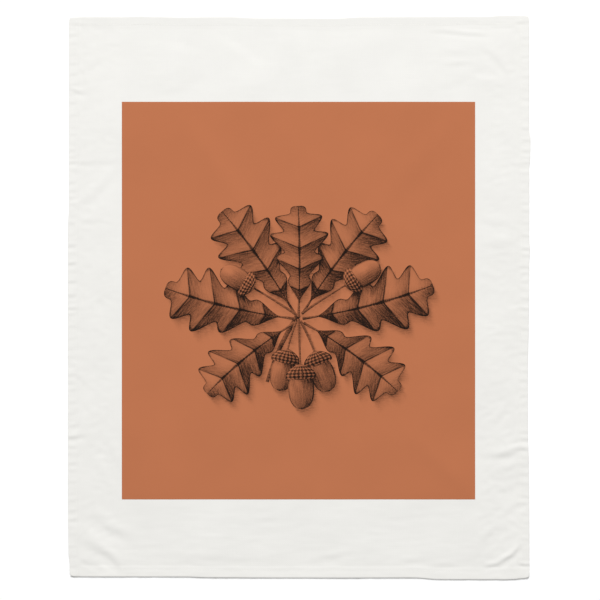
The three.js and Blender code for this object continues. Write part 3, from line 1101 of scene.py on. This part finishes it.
def make_print(size, colours):
    """The film of ink on the face, which follows the cloth and carries the drawing."""
    forms = sprig()
    places, triangles, owner = print_triangles(size, forms)
    flat = places + (0, (size.print_top - size.print_bottom) / 2)
    count = len(flat)
    inset = (np.abs(places).max(axis=0) - np.abs(places)).min(axis=1)
    clear = EDGE_CLEAR + (INK_CLEAR - EDGE_CLEAR) * smooth(inset / EDGE_RISE)
    base = finish_points(*flat.T, -clear, size)
    points = np.concatenate([base + (0, 0, colours.film), base])
    edges = {edge for a, b, c in triangles for edge in ((a, b), (b, c), (c, a))}
    faces = list(triangles)
    faces += [(c + count, b + count, a + count) for a, b, c in triangles]
    faces += [(b, a, a + count, b + count) for a, b in sorted(edges) if (b, a) not in edges]
    made = mesh_object("printed_ink", points, faces)
    made.data.set_sharp_from_angle(angle=FILM_CREASE)
    uv_map(made, "flat cloth", np.concatenate([flat, flat]))
    bake = places / (size.print_top + size.print_bottom) * BAKE_SHARE + 0.5
    uv_map(made, "OFBake", np.concatenate([bake, bake]))
    corners = np.array(triangles).ravel()
    drawn = np.zeros((len(made.data.loops), 3))
    tone = np.zeros(len(made.data.loops))
    corner_owner = np.repeat(owner, 3)
    for index in range(len(forms) + 1):
        mine = np.nonzero(corner_owner == index)[0]
        x, y = places[corners[mine]].T
        shade = cast_shade(x, y, forms[index:])
        if index == 0:
            tone[mine] = GROUND_SHADE * shade
            continue
        form = forms[index - 1]
        u, v = form.locate(x, y)
        drawn[mine] = np.stack([u, v, np.full_like(u, 1 + KINDS.index(form.kind))], axis=-1)
        tone[mine] = form.tone(u, v) + FORM_SHADE * shade
    corner_values(made, "drawn", "FLOAT_VECTOR", drawn)
    corner_values(made, "tone", "FLOAT", tone)
    made.data.materials.append(ink_material(colours))
    return made


# Where the two faces lie side by side in the bake map: each one's size, and its first corner.
BAKE_FACE = (0.62, 0.98), (0.01, 0.01)
BAKE_BACK = (0.34, 0.98), (0.65, 0.01)


def make_cloth(size, cloth):
    """The woven panel with its turned hems, as one sheet with two faces and a cut edge."""
    face, (flat_x, flat_y) = sheet_points(size.pitch / 2 - size.layer / 2, size)
    back, _ = sheet_points(size.pitch / 2 + size.layer / 2, size)
    rows, columns = flat_x.shape
    number = np.arange(rows * columns).reshape(rows, columns)
    corners = [number[:-1, :-1], number[:-1, 1:], number[1:, 1:], number[1:, :-1]]
    up = np.stack(corners, axis=-1).reshape(-1, 4)
    under = up[:, ::-1] + rows * columns
    loop = np.concatenate([number[0, :], number[1:, -1], number[-1, -2::-1], number[-2:0:-1, 0]])
    after = np.roll(loop, -1)
    rim = np.stack([after, loop, loop + rows * columns, after + rows * columns], axis=-1)
    points = np.concatenate([face.reshape(-1, 3), back.reshape(-1, 3)])
    made = mesh_object("woven_towel", points, np.concatenate([up, under, rim]).tolist())
    flat = np.stack([flat_x.ravel(), flat_y.ravel()], axis=-1)
    uv_map(made, "flat cloth", np.concatenate([flat, flat]))
    share = flat / (np.abs(flat).max(axis=0) * 2) + 0.5
    sides = [share * wide + corner for wide, corner in (BAKE_FACE, BAKE_BACK)]
    uv_map(made, "OFBake", np.concatenate(sides))
    middle = flat[up].mean(axis=1)
    printed = (np.abs(middle[:, 0]) < size.print_x) & (middle[:, 1] < size.print_top)
    printed &= middle[:, 1] > -size.print_bottom
    ghost = np.zeros(len(made.data.loops))
    first = up.size  # the corners of the underside follow those of the face
    ghost[first : 2 * first] = np.repeat(printed, 4) * GHOST_STRENGTH
    corner_values(made, "ghost", "FLOAT", ghost)
    made.data.materials.append(cotton_material(cloth))
    return made


SEAM_END = 2.0  # the stitches stop this short of the towel's edge
BACK_END = 1.0  # and on the back, where two hems meet, this short of the other hem
PATH_STEP = 1.5
HALF_STITCH = 0.46  # of the pitch: the rest is the gap between two stitches
END_DIP = -0.6  # of the bow: how far a stitch's ends go into the cloth
BEND_STEPS, THREAD_SIDES = 6, 6
SWAY = (0.94, 1.05)  # the stitches' least and greatest scale
STITCH_SEED = 7
FACE_BOW, BACK_BOW = 0.24, -0.12  # how far a stitch's middle is drawn out of the cloth
# How far the stitches are pressed into the cloth, on the back and, for each seam, on the face.
BACK_SINK = 0.11
FACE_SINK = {"top": 0.02, "bottom": 0.11, "left": 0.02, "right": 0.02}


def seam_path(side, on_back, size):
    """Points along a seam, on the face or on the hem's underside."""
    if side in ("top", "bottom"):
        half, other = size.half_x, size.half_y
    else:
        half, other = size.half_y, size.half_x
    reach = half - SEAM_END
    if on_back and side in ("left", "right"):
        reach = half - size.hem - BACK_END
    along = np.arange(-reach, reach, PATH_STEP)
    across = np.full_like(along, (other - size.seam) * (1 if side in ("top", "right") else -1))
    x, y = (along, across) if side in ("top", "bottom") else (across, along)
    stack, _ = towel_top(x, y, size)
    sunk = BACK_SINK if on_back else -FACE_SINK[side]
    return finish_points(x, y, stack * on_back, size) + (0, 0, sunk * MM)


def stitch_tree(material):
    """Geometry nodes that lay one bowed stitch after another along a path."""
    tree = bpy.data.node_groups.new("row of lockstitches", "GeometryNodeTree")
    tree.interface.new_socket("Geometry", in_out="INPUT", socket_type="NodeSocketGeometry")
    for name in ("Stitch Length", "Thread Thickness", "Bow"):
        tree.interface.new_socket(name, in_out="INPUT", socket_type="NodeSocketFloat")
    tree.interface.new_socket("Geometry", in_out="OUTPUT", socket_type="NodeSocketGeometry")
    path, pitch, thick, bow, _ = tree.nodes.new("NodeGroupInput").outputs
    curve = add(tree, "GeometryNodeMeshToCurve", path)
    spots = add(tree, "GeometryNodeCurveToPoints", curve, at={2: pitch}, mode="LENGTH")
    tangent = spots.node.outputs["Tangent"]
    turned = add(tree, "FunctionNodeAlignRotationToVector", at={"Vector": tangent}, axis="X")
    reach = add(tree, MATH, pitch, HALF_STITCH, operation="MULTIPLY")
    back = add(tree, MATH, reach, -1.0, operation="MULTIPLY")
    dip = add(tree, MATH, bow, END_DIP, operation="MULTIPLY")
    start = add(tree, COMBINE, back, 0.0, dip)
    crown = add(tree, COMBINE, 0.0, 0.0, bow)
    end = add(tree, COMBINE, reach, 0.0, dip)
    line = add(tree, "GeometryNodeCurveQuadraticBezier", BEND_STEPS, start, crown, end)
    radius = add(tree, MATH, thick, 0.5, operation="MULTIPLY")
    ring = add(tree, "GeometryNodeCurvePrimitiveCircle", at={
        "Resolution": THREAD_SIDES, "Radius": radius,
    })
    bead = add(tree, "GeometryNodeCurveToMesh", at={
        "Curve": line, "Profile Curve": ring, "Fill Caps": True,
    })
    sway = add(tree, "FunctionNodeRandomValue", at={2: SWAY[0], 3: SWAY[1], 8: STITCH_SEED}, out=1)
    rows = add(tree, "GeometryNodeInstanceOnPoints", at={
        "Points": spots, "Instance": bead, "Rotation": turned, "Scale": sway,
    })
    real = add(tree, "GeometryNodeRealizeInstances", rows)
    real = add(tree, "GeometryNodeSetShadeSmooth", real)
    dressed = add(tree, "GeometryNodeSetMaterial", at={"Geometry": real, "Material": material})
    add(tree, "NodeGroupOutput", dressed)
    return tree


def lay_stitches(name, path, tree, seams, bow):
    """One row of stitches along a path, as a plain mesh."""
    made = mesh_object(name, path, [], [(i, i + 1) for i in range(len(path) - 1)])
    modifier = made.modifiers.new("row of lockstitches", "NODES")
    modifier.node_group = tree
    values = {"Stitch Length": seams.pitch, "Thread Thickness": seams.thread, "Bow": bow * MM}
    for socket in tree.interface.items_tree:
        if socket.name in values:
            modifier[socket.identifier] = values[socket.name]
    solid = made.evaluated_get(bpy.context.evaluated_depsgraph_get())
    made.data = bpy.data.meshes.new_from_object(solid)
    made.modifiers.clear()
    return made


class TEATOWEL_OT_weave(bpy.types.Operator):
    """Weave the towel and turn its hems"""

    bl_idname = "tea_towel.weave_cloth"
    bl_label = "Weave Cloth"

    def execute(self, context):
        towel = make_cloth(in_mm(), context.scene.towel_cloth)
        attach(towel, BODY)
        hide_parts("cotton_panel")
        return {"FINISHED"}


class TEATOWEL_OT_print(bpy.types.Operator):
    """Print the panel on the towel's face"""

    bl_idname = "tea_towel.print_face"
    bl_label = "Print Face"

    def execute(self, context):
        ink = make_print(in_mm(), context.scene.towel_print)
        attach(ink, BODY)
        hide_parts("print_ink")
        return {"FINISHED"}


class TEATOWEL_OT_sew(bpy.types.Operator):
    """Sew the hems down, after the cloth and its print are made"""

    bl_idname = "tea_towel.sew_seams"
    bl_label = "Sew Seams"

    def execute(self, context):
        size = in_mm()
        seams, cloth = context.scene.towel_seams, context.scene.towel_cloth
        tree = stitch_tree(thread_material(seams))
        for side in SIDES:
            for label, node, bow in (("face", "needle", FACE_BOW), ("back", "bobbin", BACK_BOW)):
                path = seam_path(side, label == "back", size)
                row = lay_stitches(f"{label}_stitches_{side}", path, tree, seams, bow)
                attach(row, BODY)
                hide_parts(f"{node}_thread_{side}")
        return {"FINISHED"}


class TEATOWEL_OT_stage(bpy.types.Operator):
    """Set the floor, the lights and the camera"""

    bl_idname = "tea_towel.set_stage"
    bl_label = "Set Stage"

    def execute(self, context):
        make_stage(context.scene.towel_stage)
        return {"FINISHED"}


FLOOR_HALF = 3.0
FLOOR_DROP = 0.05  # below the table plane, in millimetres, so that nothing lies in the floor
SENSOR = 36.0  # millimetres
VIEW_MIDDLE = (1.5, -1.9)  # where the camera looks, in millimetres from the towel's middle
KEY_FROM = (-0.06, 1.0, 0.8)
KEY_SOFTNESS = math.radians(24)
FILL_PLACE, FILL_SIZE = (0.0, 1.2, 1.4), 1.2
SKY_STRENGTH = 0.45


def make_stage(stage):
    """A plain white table under soft light, seen from straight above."""
    drop, half = -FLOOR_DROP * MM, FLOOR_HALF
    corners = [(-half, -half, drop), (half, -half, drop), (half, half, drop), (-half, half, drop)]
    floor = mesh_object("floor", corners, [(0, 1, 2, 3)])
    material, tree = new_material("matt white table")
    shader = add(tree, "ShaderNodeBsdfPrincipled", at={"Base Color": (*stage.floor, 1), "Roughness": 0.9})
    add(tree, "ShaderNodeOutputMaterial", shader)
    floor.data.materials.append(material)
    scene = bpy.context.scene
    key = bpy.data.lights.new("soft key, beyond the top", "SUN")
    key.angle = KEY_SOFTNESS
    key.energy = stage.key_strength
    fill = bpy.data.lights.new("fill", "AREA")
    fill.size = FILL_SIZE
    fill.energy = stage.fill_power
    for light, place in ((key, KEY_FROM), (fill, FILL_PLACE)):
        lamp = bpy.data.objects.new(light.name, light)
        lamp.location = place
        lamp.rotation_euler = (-Vector(place)).to_track_quat("-Z", "Y").to_euler()
        scene.collection.objects.link(lamp)
    world = bpy.data.worlds.new("even studio light")
    world.use_nodes = True
    world.node_tree.nodes["Background"].inputs["Strength"].default_value = SKY_STRENGTH
    world.node_tree.nodes["Background"].inputs["Color"].default_value = (1, 1, 1, 1)
    scene.world = world
    camera = bpy.data.cameras.new("from straight above")
    camera.sensor_width = SENSOR
    camera.lens = SENSOR * stage.camera_height / stage.view_width
    view = bpy.data.objects.new("from straight above", camera)
    view.location = (VIEW_MIDDLE[0] * MM, VIEW_MIDDLE[1] * MM, stage.camera_height)
    scene.collection.objects.link(view)
    scene.camera = view
    scene.view_settings.view_transform = "Standard"


class TEATOWEL_PT_sidebar(bpy.types.Panel):
    """The towel's operators and their settings"""

    bl_label = "Tea Towel"
    bl_idname = "TEATOWEL_PT_sidebar"
    bl_space_type = "VIEW_3D"
    bl_region_type = "UI"
    bl_category = "Tea Towel"

    def draw(self, context):
        for name, operator in STEPS:
            box = self.layout.box()
            settings = getattr(context.scene, name)
            for key in settings.bl_rna.properties.keys():
                if key not in ("rna_type", "name"):
                    box.prop(settings, key)
            box.operator(operator.bl_idname)


SETTINGS = {
    "towel_cloth": TowelCloth,
    "towel_print": TowelPrint,
    "towel_seams": TowelSeams,
    "towel_stage": TowelStage,
}
STEPS = (
    ("towel_cloth", TEATOWEL_OT_weave),
    ("towel_print", TEATOWEL_OT_print),
    ("towel_seams", TEATOWEL_OT_sew),
    ("towel_stage", TEATOWEL_OT_stage),
)
CLASSES = (*SETTINGS.values(), *(operator for _, operator in STEPS), TEATOWEL_PT_sidebar)


def register():
    """Adds the classes and their settings to Blender."""
    for made in CLASSES:
        bpy.utils.register_class(made)
    for name, group in SETTINGS.items():
        setattr(bpy.types.Scene, name, PointerProperty(type=group))


def unregister():
    """Takes them out again."""
    for name in SETTINGS:
        delattr(bpy.types.Scene, name)
    for made in reversed(CLASSES):
        bpy.utils.unregister_class(made)


def main():
    """Makes the towel and its stage."""
    register()
    bpy.ops.tea_towel.weave_cloth()
    bpy.ops.tea_towel.print_face()
    bpy.ops.tea_towel.sew_seams()
    bpy.ops.tea_towel.set_stage()


if __name__ == "__main__":
    main()
